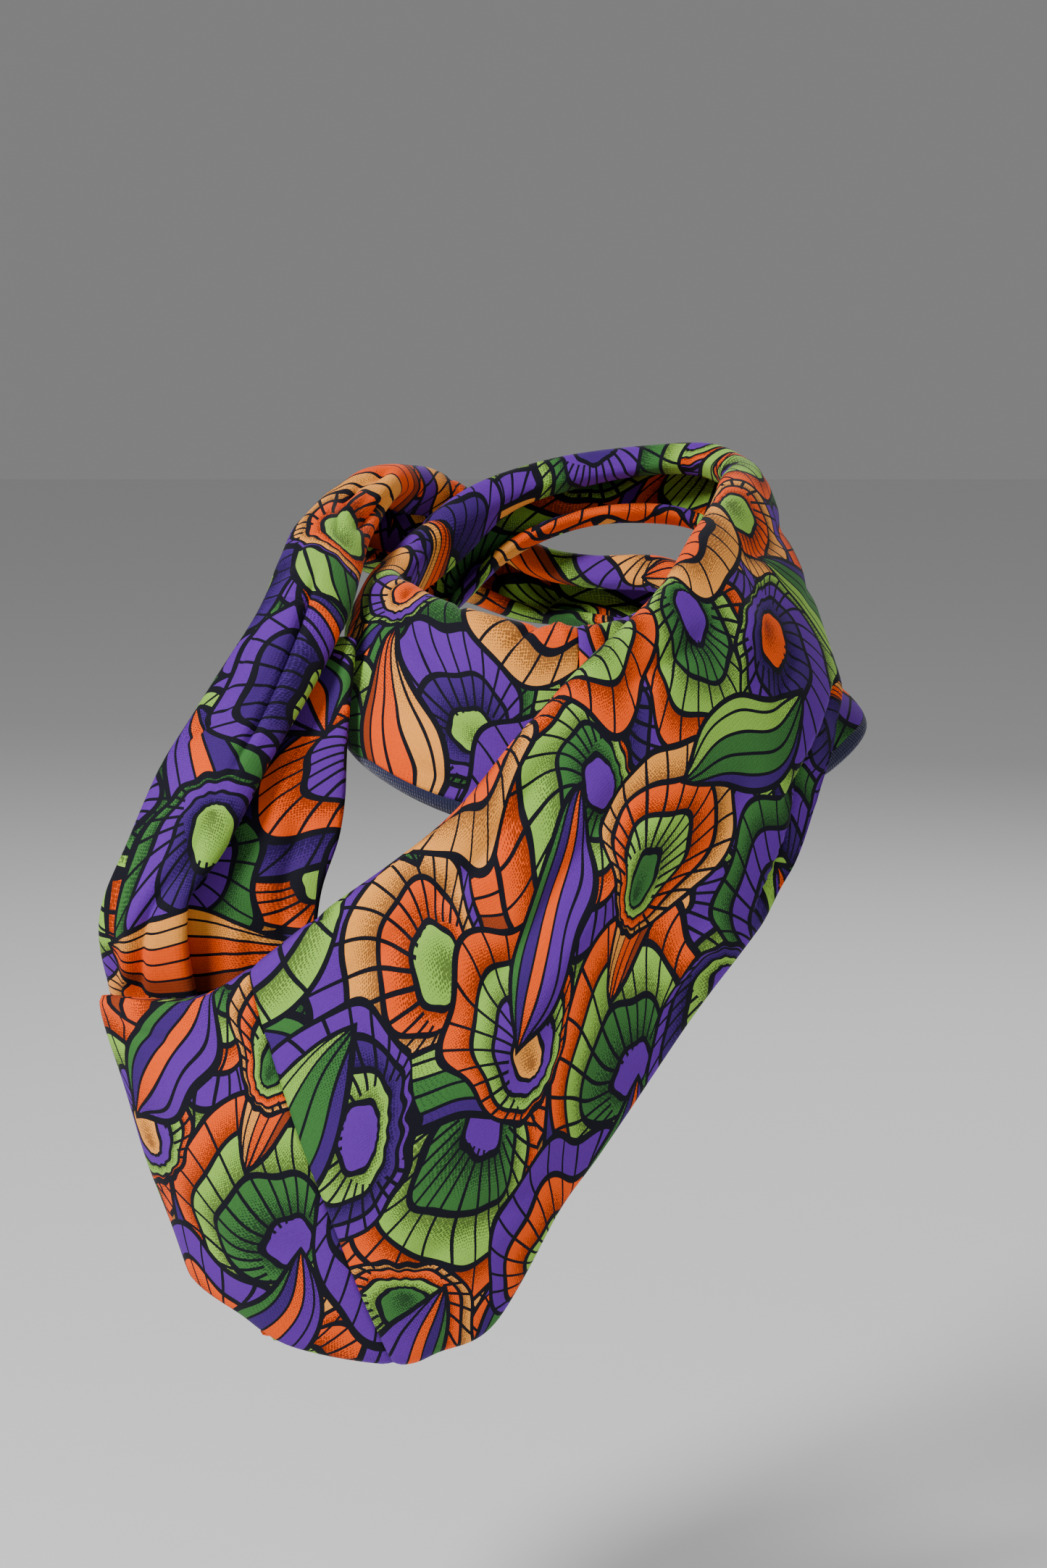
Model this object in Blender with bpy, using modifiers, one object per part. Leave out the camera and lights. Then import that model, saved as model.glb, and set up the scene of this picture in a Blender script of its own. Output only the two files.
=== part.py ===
"""Infinity scarf in its worn form, wound twice round a small neck.

The scarf is one closed loop of printed cloth, joined from two lengths at two cross seams.
It is in metres, +Z up, with the front facing -Y and the origin on the nape, where the
neck carries the scarf.

Each stretch is a loft through sections of the folded band. A section runs from the top
fold, down the printed face to the low fold, and both edges turn in behind the face.
"""
import bpy
import bmesh
from collections import namedtuple
from mathutils import Vector

COLLECTION = "infinity_scarf"
MM = 0.001

# Driving sizes, in millimetres
WALL = 2.0
SEAM_GAP = 0.34
LINING_SHOWS = 6.0
JOINT_SHARE = 0.06
SEAM_STEP = 1.0
FACE_SHARES = (0.25, 0.5, 0.75)
CREASE_RADIUS = 1.6
EDGE_TURN = 1.6
EDGE_UNDER = 4.5

PRINT_VIOLET = (0.17, 0.085, 0.42)
PRINT_GREEN = (0.16, 0.33, 0.08)
PRINT_ORANGE = (0.72, 0.19, 0.03)
PRINT_TAN = (0.75, 0.36, 0.13)
LINING_NAVY = (0.016, 0.018, 0.055)

# A section of the band. The top and low points are the two folds that bound the face.
# belly is how far the face swells out, top_fold and low_fold are the folds' radii,
# and tuck and under are the widths that turn in behind the face at each fold.
Section = namedtuple(
    "Section", "top_x top_y top_z low_x low_y low_z belly top_fold tuck low_fold under")

# Pocket corner, where the band turns from its fall at the left to the front panel
FRONT_LEFT = [
    Section(-145, -114, -154, -117, -124, -239, 0, 2.2, 5, 2.2, 4),
    Section(-148, -120, -153, -120, -130, -239, 1, 2.2, 6, 2.2, 5),
    Section(-143, -129, -152, -116, -137, -241, 2, 2.0, 12, 2.5, 7),
    Section(-131, -140, -151, -104, -143, -248, 5, 2.5, 22, 3.5, 10),
    Section(-116, -150, -148, -88, -148, -258, 8, 3.0, 32, 4.0, 12),
]

# Front panel, from the first seam up to the right shoulder
FRONT_RIGHT = [
    Section(-99, -157, -138, -56, -151, -262, 10, 3.5, 38, 4.0, 14),
    Section(-77, -161, -121, -42, -152, -258, 12, 4.0, 38, 4.0, 14),
    Section(-54, -160, -104, -24, -151, -249, 13, 4.0, 34, 4.0, 14),
    Section(-31, -156, -86, -5, -148, -215, 12, 4.0, 28, 4.0, 13),
    Section(-13, -148, -65, 9, -145, -196, 11, 4.0, 24, 4.0, 12),
    Section(1, -140, -50, 27, -139, -170, 10, 4.0, 20, 4.0, 12),
    Section(12, -132, -40, 42, -133, -149, 9, 4.0, 17, 4.0, 11),
    Section(22, -123, -31, 57, -124, -132, 8, 4.0, 15, 4.0, 10),
    Section(31, -109, -22, 73, -111, -114, 7, 4.0, 14, 3.5, 9),
    Section(38, -96, -14, 83, -91, -90, 6, 4.0, 14, 3.0, 8),
]

# Over the right shoulder and round the nape, above the second turn
NAPE_UPPER = [
    Section(44, -81, -6, 89, -71, -74, 4, 4.0, 15, 3.0, 8),
    Section(50, -63, 1, 89, -49, -59, 4, 4.0, 16, 3.0, 8),
    Section(56, -42, 8, 81, -25, -42, 4, 4.5, 16, 3.0, 8),
    Section(61, -19, 12, 66, 2, -23, 4, 5.0, 13, 3.5, 7),
    Section(52, 6, 15, 43, 16, -13, 4, 5.5, 11, 4.0, 6),
    Section(26, 15, 13, 20, 16, -12, 4, 6.0, 9, 4.5, 6),
    Section(-3, 13, 10, -3, 14, -16, 4, 6.0, 11, 4.5, 6),
    Section(-23, 8, 5, -24, 9, -25, 4, 6.0, 13, 4.5, 6),
    Section(-40, -2, -2, -43, -2, -41, 3, 6.0, 20, 4.5, 7),
    Section(-52, -18, -10, -59, -20, -50, 3, 5.5, 22, 4.5, 7),
    Section(-58, -34, -17, -71, -37, -55, 3, 5.0, 20, 4.0, 9),
    Section(-62, -47, -22, -78, -54, -64, 3, 4.5, 22, 3.5, 10),
]

# Collar at the left of the neck, as far as the second seam
COLLAR_LEFT = [
    Section(-59, -65, -24, -78, -69, -70, 4, 4.0, 22, 3.5, 12),
    Section(-54, -73, -25, -69, -92, -80, 5, 4.0, 20, 3.0, 16),
    Section(-44, -84, -29, -56, -109, -87, 5, 4.0, 20, 3.0, 18),
    Section(-30, -94, -33, -39, -118, -93, 5, 4.0, 20, 3.0, 18),
    Section(-14, -99, -36, -19, -122, -97, 5, 4.0, 20, 3.0, 18),
]

# Collar from the second seam to the right shoulder, under the front panel
COLLAR_RIGHT = [
    Section(2, -99, -36, 2, -122, -99, 5, 4.0, 20, 3.0, 18),
    Section(15, -95, -35, 23, -118, -99, 3, 4.0, 20, 3.0, 18),
    Section(26, -87, -32, 44, -109, -95, 0, 4.0, 18, 3.0, 18),
    Section(35, -77, -30, 66, -92, -91, -3, 4.0, 16, 3.0, 16),
    Section(41, -65, -29, 86, -70, -86, -5, 4.0, 14, 3.0, 14),
    Section(45, -50, -28, 99, -48, -74, -6, 4.0, 14, 3.0, 12),
]

# Round the nape below the first turn, rising at the left to pass outside it
NAPE_LOWER = [
    Section(47, -34, -27, 89, -22, -64, -4, 4.5, 14, 3.6, 10),
    Section(44, -14, -26, 68, 0, -57, 0, 5.0, 13, 3.5, 9),
    Section(33, 6, -22, 40, 18, -51, 3, 5.5, 11, 4.5, 6),
    Section(10, 21, -23, 13, 27, -49, 4, 6.0, 10, 4.5, 5),
    Section(-10, 29, -20, -13, 34, -47, 4, 6.0, 10, 4.5, 5),
    Section(-30, 30, -6, -35, 34, -40, 4, 6.0, 13, 5.0, 6),
    Section(-48, 19, 5, -55, 21, -33, 4, 6.0, 15, 6.0, 7),
]

# Over the left shoulder, as a soft roll
LEFT_SHOULDER = [
    Section(-58, 2, 9, -69, 2, -28, 5, 6.0, 16, 6.0, 8),
    Section(-63, -18, 9, -83, -18, -20, 7, 5.0, 12, 5.5, 7),
    Section(-67, -43, -4, -93, -40, -19, 8, 4.5, 11, 6.0, 8),
    Section(-70, -67, -19, -98, -59, -27, 9, 4.0, 10, 6.5, 9),
]

# Fall at the left, from the chest down behind the front panel, to turn in under its low fold
LEFT_FALL = [
    Section(-75, -88, -34, -103, -76, -38, 9, 4.0, 10, 7.0, 10),
    Section(-86, -104, -58, -119, -87, -61, 9, 3.5, 11, 7.5, 12),
    Section(-99, -117, -80, -131, -97, -84, 9, 3.0, 11, 7.5, 14),
    Section(-110, -126, -102, -141, -106, -107, 8, 2.5, 10, 7.0, 16),
    Section(-121, -131, -123, -149, -110, -128, 6, 2.0, 8, 6.0, 15),
    Section(-120, -127, -150, -148, -105, -153, 3, 1.8, 7, 5.0, 14),
    Section(-112, -125, -178, -142, -107, -179, 3, 1.8, 7, 3.5, 11),
    Section(-101, -128, -212, -132, -111, -212, 3, 1.8, 7, 3.0, 9),
    Section(-95, -131, -240, -124, -115, -229, 2, 1.8, 7, 2.5, 7),
    Section(-93, -134, -253, -122, -118, -238, 1, 1.8, 7, 2.0, 5),
    Section(-93, -138.5, -259.5, -120, -122.5, -242.5, -1, 1.8, 7, 1.8, 4),
]

# Free edge of the flat strip that comes out from under the roll, a row for each LEFT_FALL row
StripEdge = namedtuple("StripEdge", "x y z")
STRIP_EDGES = [
    StripEdge(-70, -85, -42),
    StripEdge(-71, -92, -58),
    StripEdge(-72, -103, -79),
    StripEdge(-74, -112, -101),
    StripEdge(-80, -119, -123),
    StripEdge(-78, -123, -152),
    StripEdge(-74, -127, -180),
    StripEdge(-69, -131, -214),
    StripEdge(-64, -132, -242),
    StripEdge(-63, -133, -251),
    StripEdge(-63, -135, -256),
]

Stretch = namedtuple("Stretch", "name rows kind colour")
STRETCHES = [
    Stretch("front_left", FRONT_LEFT, "plain", PRINT_GREEN),
    Stretch("front_right", FRONT_RIGHT, "plain", PRINT_VIOLET),
    Stretch("nape_upper", NAPE_UPPER, "plain", PRINT_GREEN),
    Stretch("collar_left", COLLAR_LEFT, "lined", PRINT_ORANGE),
    Stretch("collar_right", COLLAR_RIGHT, "lined", PRINT_VIOLET),
    Stretch("nape_lower", NAPE_LOWER, "plain", PRINT_ORANGE),
    Stretch("left_shoulder", LEFT_SHOULDER, "plain", PRINT_VIOLET),
    Stretch("left_fall", LEFT_FALL, "fall", PRINT_TAN),
]


def clear_scene():
    for obj in list(bpy.context.scene.objects):
        bpy.data.objects.remove(obj, do_unlink=True)


def spline(before, here, there, after, t):
    """Catmull-Rom curve from here to there, for numbers or vectors."""
    return 0.5 * (2 * here + (there - before) * t
                  + (2 * before - 5 * here + 4 * there - after) * t ** 2
                  + (3 * here - before - 3 * there + after) * t ** 3)


def smooth_rows(rows, joints):
    """Smooth curves through rows of numbers or vectors, with more rows between them.

    There is one more row halfway between two rows. Beside a row where two stretches meet
    there is another close by, so that both walls end square to the band there.
    The second list has the new number of each given row.
    """
    kind = type(rows[0])
    end = len(rows) - 1
    result, numbers = [], []
    for row in range(end):
        nearby = [rows[min(max(row + step, 0), end)] for step in (-1, 0, 1, 2)]
        shares = [0, JOINT_SHARE, 0.5] if row in joints else [0, 0.5]
        if row + 1 in joints:
            shares.append(1 - JOINT_SHARE)
        numbers.append(len(result))
        for share in shares:
            result.append(kind(*(spline(*column, share) for column in zip(*nearby))))
    numbers.append(len(result))
    result.append(rows[end])
    return result, numbers


# A section with its two folds as points, and at each the direction out of the face
Frame = namedtuple(
    "Frame", "top low out_top out_low belly top_fold tuck low_fold under")


def fold_points(section):
    return (Vector((section.top_x, section.top_y, section.top_z)),
            Vector((section.low_x, section.low_y, section.low_z)))


def band_frames(joints):
    """Frames for every section of the whole band."""
    rows = [row for stretch in STRETCHES for row in stretch.rows]
    end = len(rows) - 1
    frames = []
    for index, row in enumerate(rows):
        top, low = fold_points(row)
        top_before, low_before = fold_points(rows[max(index - 1, 0)])
        top_after, low_after = fold_points(rows[min(index + 1, end)])
        out_top = (low - top).cross(top_after - top_before).normalized()
        out_low = (low - top).cross(low_after - low_before).normalized()
        frames.append(Frame(top, low, out_top, out_low, row.belly, row.top_fold,
                            row.tuck, row.low_fold, row.under))
    return smooth_rows(frames, joints)


def width(frame):
    return (frame.low - frame.top).length


def place(frame, across, height):
    """Point at a distance down the face from the top fold and a height out of it."""
    share = across / width(frame)
    out = frame.out_top.lerp(frame.out_low, share).normalized()
    return frame.top.lerp(frame.low, share) + out * height


def swell(frame, across):
    """Height of the face above the line between its folds."""
    share = across / width(frame)
    return frame.belly * 4 * share * (1 - share)


# A section's outline is a list of keys: a point and the number of steps to the next one.

def tuck_keys(frame):
    """The turned-in top edge, from its hidden end to the fold."""
    behind = swell(frame, frame.tuck) - 2 * frame.top_fold
    return [(place(frame, frame.tuck, behind), 2)]


def top_fold_keys(frame):
    radius = frame.top_fold
    return [(place(frame, radius, -2 * radius), 2),
            (place(frame, 0, -radius), 2),
            (place(frame, radius, swell(frame, radius)), 2)]


def face_key(frame, across, steps):
    return (place(frame, across, swell(frame, across)), steps)


def face_keys(frame):
    """The face between its two folds."""
    flat = width(frame) - frame.top_fold - frame.low_fold
    return [face_key(frame, frame.top_fold + flat * share, 2) for share in FACE_SHARES]


def low_fold_keys(frame):
    """The low fold and the width that turns up behind the face."""
    radius = frame.low_fold
    low = width(frame)
    turned = low - max(frame.under, radius + 1)
    return [(place(frame, low - radius, swell(frame, low - radius)), 2),
            (place(frame, low, -radius), 2),
            (place(frame, low - radius, -2 * radius), 2),
            (place(frame, turned, swell(frame, turned) - 2 * radius), 0)]


def strip_keys(frame, edge_row):
    """The strip under the roll, from its turned edge to the crease behind the roll."""
    edge = Vector(edge_row)
    tuck = frame.tuck
    depth = -2 * frame.top_fold
    crease = place(frame, tuck - CREASE_RADIUS, depth - 2 * CREASE_RADIUS)
    inward = (crease - edge).normalized()
    out = (frame.out_top - inward * frame.out_top.dot(inward)).normalized()
    return [(edge + inward * EDGE_UNDER - out * 2 * EDGE_TURN, 1),
            (edge + inward * EDGE_TURN - out * 2 * EDGE_TURN, 1),
            (edge - out * EDGE_TURN, 1),
            (edge + inward * EDGE_TURN, 3),
            (edge.lerp(crease, 0.6), 2),
            (crease, 1),
            (place(frame, tuck, depth - CREASE_RADIUS), 1),
            (place(frame, tuck - CREASE_RADIUS, depth), 1)]


def smooth_line(keys):
    """Points on a smooth curve through the keys."""
    places = [key[0] for key in keys]
    end = len(places) - 1
    line = []
    for index in range(end):
        nearby = [places[min(max(index + step, 0), end)] for step in (-1, 0, 1, 2)]
        steps = keys[index][1]
        line += [spline(*nearby, step / steps) for step in range(steps)]
    line.append(places[end])
    return line


def plain_line(frame):
    return smooth_line(tuck_keys(frame) + top_fold_keys(frame)
                       + face_keys(frame) + low_fold_keys(frame))


def fall_line(frame, edge_row):
    return smooth_line(strip_keys(frame, edge_row) + top_fold_keys(frame)
                       + face_keys(frame) + low_fold_keys(frame))


def collar_lines(frame):
    """The collar's print and its lining, parted at the seam above the low fold."""
    seam = width(frame) - LINING_SHOWS
    before = tuck_keys(frame) + top_fold_keys(frame) + [
        face_key(frame, seam * 0.35, 2),
        face_key(frame, seam * 0.67, 2),
        face_key(frame, seam - SEAM_STEP, 1)]
    line = smooth_line(before + [face_key(frame, seam, 2)] + low_fold_keys(frame))
    count = sum(steps for _, steps in before)
    printed, lining = line[:count + 1], line[count:]
    part(printed, -1, -2)
    part(lining, 0, 1)
    return printed, lining


def part(points, end, inner):
    """Draws an end point back by half the gap at a seam."""
    points[end] = points[end] + (points[inner] - points[end]).normalized() * SEAM_GAP / 2


def part_at_ends(lines):
    """Draws both ends of a stretch back from its neighbours."""
    for end, inner in ((0, 1), (-1, -2)):
        for column in range(len(lines[end])):
            points = [lines[end][column], lines[inner][column]]
            part(points, 0, 1)
            lines[end][column] = points[0]


def cloth_material(name, colour):
    material = bpy.data.materials.new(name)
    material.use_nodes = True
    shader = material.node_tree.nodes["Principled BSDF"]
    shader.inputs["Base Color"].default_value = (*colour, 1)
    shader.inputs["Roughness"].default_value = 0.85
    shader.inputs["Metallic"].default_value = 0
    return material


def cloth_wall(name, lines, colour, collection):
    """One stretch: an open surface over its section lines, thickened to the wall."""
    part_at_ends(lines)
    mesh = bpy.data.meshes.new(name)
    shape = bmesh.new()
    grid = [[shape.verts.new(point * MM) for point in line] for line in lines]
    for line, following in zip(grid, grid[1:]):
        for index in range(len(line) - 1):
            shape.faces.new((line[index], line[index + 1],
                             following[index + 1], following[index]))
    shape.to_mesh(mesh)
    shape.free()
    mesh.shade_smooth()
    mesh.materials.append(cloth_material(name, colour))
    obj = bpy.data.objects.new(name, mesh)
    collection.objects.link(obj)
    wall = obj.modifiers.new("Wall", "SOLIDIFY")
    wall.thickness = WALL * MM
    wall.offset = 0
    return obj


def build_scarf():
    collection = bpy.data.collections.new(COLLECTION)
    bpy.context.scene.collection.children.link(collection)
    joints = [sum(len(stretch.rows) for stretch in STRETCHES[:count])
              for count in range(1, len(STRETCHES))]
    band, numbers = band_frames(joints)
    ends = [0] + [numbers[row] for row in joints] + [len(band) - 1]
    for stretch, first, last in zip(STRETCHES, ends, ends[1:]):
        frames = band[first:last + 1]
        if stretch.kind == "lined":
            pairs = [collar_lines(frame) for frame in frames]
            cloth_wall(stretch.name + "_lining", [pair[1] for pair in pairs],
                       LINING_NAVY, collection)
            lines = [pair[0] for pair in pairs]
        elif stretch.kind == "fall":
            edges, _ = smooth_rows(STRIP_EDGES, [0])
            lines = [fall_line(*pair) for pair in zip(frames, edges)]
        else:
            lines = [plain_line(frame) for frame in frames]
        cloth_wall(stretch.name, lines, stretch.colour, collection)


clear_scene()
build_scarf()
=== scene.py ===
"""Looks of the infinity scarf: printed jersey shells with their creases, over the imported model."""
import math
from collections import namedtuple

import bpy
import numpy as np
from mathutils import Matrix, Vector


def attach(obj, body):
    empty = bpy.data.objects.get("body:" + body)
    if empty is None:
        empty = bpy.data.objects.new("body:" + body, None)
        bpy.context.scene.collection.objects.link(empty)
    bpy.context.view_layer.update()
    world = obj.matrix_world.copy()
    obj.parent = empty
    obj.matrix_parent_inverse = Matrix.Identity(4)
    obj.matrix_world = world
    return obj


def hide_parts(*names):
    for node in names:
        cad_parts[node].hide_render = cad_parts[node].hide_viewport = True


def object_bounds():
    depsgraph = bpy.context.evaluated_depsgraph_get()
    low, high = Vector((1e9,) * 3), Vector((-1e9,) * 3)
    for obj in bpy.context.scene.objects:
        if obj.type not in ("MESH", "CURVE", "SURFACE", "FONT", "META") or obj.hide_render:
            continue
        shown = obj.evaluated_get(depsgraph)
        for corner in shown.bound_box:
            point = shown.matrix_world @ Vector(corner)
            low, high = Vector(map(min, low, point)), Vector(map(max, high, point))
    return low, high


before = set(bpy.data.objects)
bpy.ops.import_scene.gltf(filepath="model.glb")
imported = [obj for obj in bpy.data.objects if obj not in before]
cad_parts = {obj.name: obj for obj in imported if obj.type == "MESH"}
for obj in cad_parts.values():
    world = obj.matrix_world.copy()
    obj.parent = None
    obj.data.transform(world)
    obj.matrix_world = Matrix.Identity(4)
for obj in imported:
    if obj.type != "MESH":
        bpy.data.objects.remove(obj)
cad_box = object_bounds()

MM = 0.001

# Fineness of the shells: sections for each row of the band, steps between the keys of a
# section, and points across each part of the cloth
SECTIONS_PER_ROW = 15
KEY_STEPS = 6
TUCK_POINTS = 16
STRIP_POINTS = 46
PRINT_POINTS = 72
LINING_POINTS = 9
UNDER_POINTS = 14

# Wall of the cloth, in millimetres
CLOTH_WALL = 1.3

# Share of a row by which the fall's hidden end stops short
FALL_TRIM = 5 / 15

# Width of lining that shows at the collar, the rows over which it widens to that from
# each end of the collar, and the least share of it
LINING_SHOWS = 6.0
LINING_GROWTH = 1.5
LINING_LEAST = 0.08

# Shares of the face's width at which its swell is set, and the least width, in
# millimetres, that turns up past the low fold
FACE_SHARES = (0.25, 0.5, 0.75)
LEAST_UNDER = 1

# Turned edge and crease of the strip beside the roll, in millimetres, and the share of
# the way between them at which it lies straight
CREASE_RADIUS = 1.6
EDGE_TURN = 1.6
EDGE_UNDER = 4.5
STRIP_MIDDLE = 0.6

# How sharply a pleat's edge turns, and the trough just beyond it
PLEAT_EDGE = 0.4
PLEAT_STEEPEST = 30
PLEAT_TURN = 1.5
PLEAT_TROUGH = 2.0

# Groove of a cross seam
SEAM_GROOVE = 0.8
SEAM_HALF_WIDTH = 1.5

# Share of a crease or pleat over which it fades at each end, the most that the cloth
# rises or sinks, and the points over which that fades at the cloth's edges
MARK_FADE = 0.3
MOST_HEIGHT = 6.5
EDGE_FADE_POINTS = 6

# Soft unevenness, as waves along and across the cloth, in millimetres
Wave = namedtuple("Wave", "height length bend bend_length")
WAVE_ALONG = Wave(0.35, 11.3, 1.3, 17.1)
WAVE_ACROSS = Wave(0.25, 7.7, 1.7, 23.9)

# The print's fans, in millimetres and in shares of a cell, a radius or a ring
FAN_CELL = 76.0
FAN_WANDER = 0.1
FAN_RADIUS = 0.39
FAN_RADIUS_MORE = 0.09
FAN_BASE = 0.66
FAN_RINGS = 4.0
FAN_SPOKES = 32.0
FAN_SCALLOPS = 9.0
SCALLOP_TURN = 6.0
SCALLOP_DEPTH = 0.035
SPOKE_LEAST_GAP = 2.4
RING_LINE_MOST = 0.15
RING_LINES_FROM = 0.5
# Steps through the palette from ring to ring and from fan to fan
RING_STEP = 0.382
FAN_STEP = 7.3

# The print's leaves, in millimetres and in shares of a cell
LEAF_CELL = 92.0
LEAF_WANDER = 0.14
LEAF_LENGTH = 0.36
LEAF_LENGTH_MORE = 0.06
LEAF_HALF_WIDTH = 13.0
LEAF_HALF_WIDTH_MORE = 6.0
LEAF_BEND = 8.0
LEAF_DOTS = 0.6
# Step through the families of colours from leaf to leaf
LEAF_STEP = 5.7

# Lines and dots of the print, in millimetres, with the dots' reach and wander in shares
# of their spacing
INK_LINE = 2.1
FINE_LINE = 0.95
GROUND_LINES = 5.0
DOT_SPACING = 0.75
DOT_REACH = 0.74
DOT_WANDER = 0.4
# How steeply the dots shrink across a ring, and the size that they keep on violet
DOT_FADE = 1.3
VIOLET_DOTS = 0.25

# Soft warp of the whole print, in millimetres, and the seed of its chance
WARP_SIZE = 60.0
WARP_REACH = 34.0
PRINT_SEED = 3

# Knit stitches, in millimetres, with their slant and their share of the cloth's relief
STITCH_WIDTH = 1.1
STITCH_HEIGHT = 0.9
STITCH_SLANT = 1.4
STITCH_SHARE = 0.22
KNIT_DEPTH = 0.4

# Shine of both cloths, and how bright the print's threads are at least and beyond that
SPECULAR = 0.15
SHEEN_ROUGHNESS = 0.45
THREAD_LEAST = 0.85
THREAD_MORE = 0.30

# Colours in linear light
INK = (0.006, 0.006, 0.012)
VIOLET = (0.12, 0.020, 0.34)
VIOLET_DARK = (0.052, 0.014, 0.17)
GREEN_LIGHT = (0.275, 0.54, 0.070)
GREEN_DARK = (0.043, 0.170, 0.038)
ORANGE = (0.98, 0.095, 0.0)
TAN = (0.98, 0.37, 0.055)
RUST = (0.32, 0.045, 0.010)
NAVY_DARK = (0.010, 0.011, 0.036)
NAVY_LIGHT = (0.034, 0.036, 0.10)
DOT_TINT = (0.35, 0.33, 0.42)

# Colours of the fans' rings, from the share of the palette at which each starts.
# The first is violet, which carries few dots.
VIOLET_SHARE = 0.28
RING_COLOURS = [
    (0.0, VIOLET), (VIOLET_SHARE, ORANGE), (0.39, GREEN_LIGHT), (0.53, GREEN_DARK),
    (0.65, TAN), (0.75, VIOLET_DARK), (0.84, ORANGE), (0.90, GREEN_LIGHT)]
# Families of leaf, each with the colours of its stripes from side to side
LEAF_COLOURS = [
    (TAN, TAN, ORANGE, ORANGE, RUST),
    (GREEN_LIGHT, GREEN_LIGHT, GREEN_DARK, GREEN_DARK, VIOLET_DARK),
    (VIOLET, VIOLET, ORANGE, VIOLET_DARK, GREEN_DARK)]
LEAF_STRIPES = len(LEAF_COLOURS[0])
# The print's layers from the lowest up, each shifted by a share of its cell
MOTIF_LAYERS = [
    ("fan", 0.0, 0.0), ("fan", 0.5, 0.5), ("leaf", 0.25, 0.1), ("fan", 0.5, 0.0),
    ("leaf", 0.7, 0.6), ("fan", 0.0, 0.5), ("leaf", 0.2, 0.75)]

# Where each panel lies on the printed cloth, in millimetres, and which way its band runs
Panel = namedtuple("Panel", "along across way")
PANEL_ONE = Panel(40.0, 12.0, 1)
PANEL_TWO = Panel(310.0, 77.0, -1)
CORNER_OF_PANEL = Panel(175.0, 50.0, 1)

# Camera, floor, sky and lamps, in metres, degrees and watts, with the lens in millimetres
LOOK_AT = (-0.0152, -0.130, -0.083)
CAMERA_DISTANCE = 1.25
CAMERA_TILT = 8.0
LENS = 92.6
SENSOR_WIDTH = 36
FLOOR_DROP = 0.12
FLOOR_REACH = 6.0
FLOOR_GREY = 0.88
FLOOR_ROUGHNESS = 0.9
SKY_GREY = 0.84
SKY_STRENGTH = 0.26
Lamp = namedtuple("Lamp", "name location size power")
LAMPS = [
    Lamp("key", (-1.0, -1.05, 1.0), 0.5, 36),
    Lamp("fill", (1.2, -1.0, 0.35), 0.9, 5),
    Lamp("back", (0.4, 1.2, 0.9), 0.8, 10),
]

# A section of the band. The top and low points are the two folds that bound the face.
# belly is how far the face swells out, top_fold and low_fold are the folds' radii,
# and tuck and under are the widths that turn in behind the face at each fold.
Section = namedtuple(
    "Section", "top_x top_y top_z low_x low_y low_z belly top_fold tuck low_fold under")

# Pocket corner, where the band turns from its fall at the left to the front panel
FRONT_LEFT = [
    Section(-145, -114, -154, -117, -124, -239, 0, 2.2, 5, 2.2, 4),
    Section(-148, -120, -153, -120, -130, -239, 1, 2.2, 6, 2.2, 5),
    Section(-143, -129, -152, -116, -137, -241, 2, 2.0, 12, 2.5, 7),
    Section(-131, -140, -151, -104, -143, -248, 5, 2.5, 22, 3.5, 10),
    Section(-116, -150, -148, -88, -148, -258, 8, 3.0, 32, 4.0, 12),
]

# Front panel, from the first seam up to the right shoulder
FRONT_RIGHT = [
    Section(-99, -157, -138, -56, -151, -262, 10, 3.5, 38, 4.0, 14),
    Section(-77, -161, -121, -42, -152, -258, 12, 4.0, 38, 4.0, 14),
    Section(-54, -160, -104, -24, -151, -249, 13, 4.0, 34, 4.0, 14),
    Section(-31, -156, -86, -5, -148, -215, 12, 4.0, 28, 4.0, 13),
    Section(-13, -148, -65, 9, -145, -196, 11, 4.0, 24, 4.0, 12),
    Section(1, -140, -50, 27, -139, -170, 10, 4.0, 20, 4.0, 12),
    Section(12, -132, -40, 42, -133, -149, 9, 4.0, 17, 4.0, 11),
    Section(22, -123, -31, 57, -124, -132, 8, 4.0, 15, 4.0, 10),
    Section(31, -109, -22, 73, -111, -114, 7, 4.0, 14, 3.5, 9),
    Section(38, -96, -14, 83, -91, -90, 6, 4.0, 14, 3.0, 8),
]

# Over the right shoulder and round the nape, above the second turn
NAPE_UPPER = [
    Section(44, -81, -6, 89, -71, -74, 4, 4.0, 15, 3.0, 8),
    Section(50, -63, 1, 89, -49, -59, 4, 4.0, 16, 3.0, 8),
    Section(56, -42, 8, 81, -25, -42, 4, 4.5, 16, 3.0, 8),
    Section(61, -19, 12, 66, 2, -23, 4, 5.0, 13, 3.5, 7),
    Section(52, 6, 15, 43, 16, -13, 4, 5.5, 11, 4.0, 6),
    Section(26, 15, 13, 20, 16, -12, 4, 6.0, 9, 4.5, 6),
    Section(-3, 13, 10, -3, 14, -16, 4, 6.0, 11, 4.5, 6),
    Section(-23, 8, 5, -24, 9, -25, 4, 6.0, 13, 4.5, 6),
    Section(-40, -2, -2, -43, -2, -41, 3, 6.0, 20, 4.5, 7),
    Section(-52, -18, -10, -59, -20, -50, 3, 5.5, 22, 4.5, 7),
    Section(-58, -34, -17, -71, -37, -55, 3, 5.0, 20, 4.0, 9),
    Section(-62, -47, -22, -78, -54, -64, 3, 4.5, 22, 3.5, 10),
]

# Collar at the left of the neck, as far as the second seam
COLLAR_LEFT = [
    Section(-59, -65, -24, -78, -69, -70, 4, 4.0, 22, 3.5, 12),
    Section(-54, -73, -25, -69, -92, -80, 5, 4.0, 20, 3.0, 16),
    Section(-44, -84, -29, -56, -109, -87, 5, 4.0, 20, 3.0, 18),
    Section(-30, -94, -33, -39, -118, -93, 5, 4.0, 20, 3.0, 18),
    Section(-14, -99, -36, -19, -122, -97, 5, 4.0, 20, 3.0, 18),
]

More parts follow.
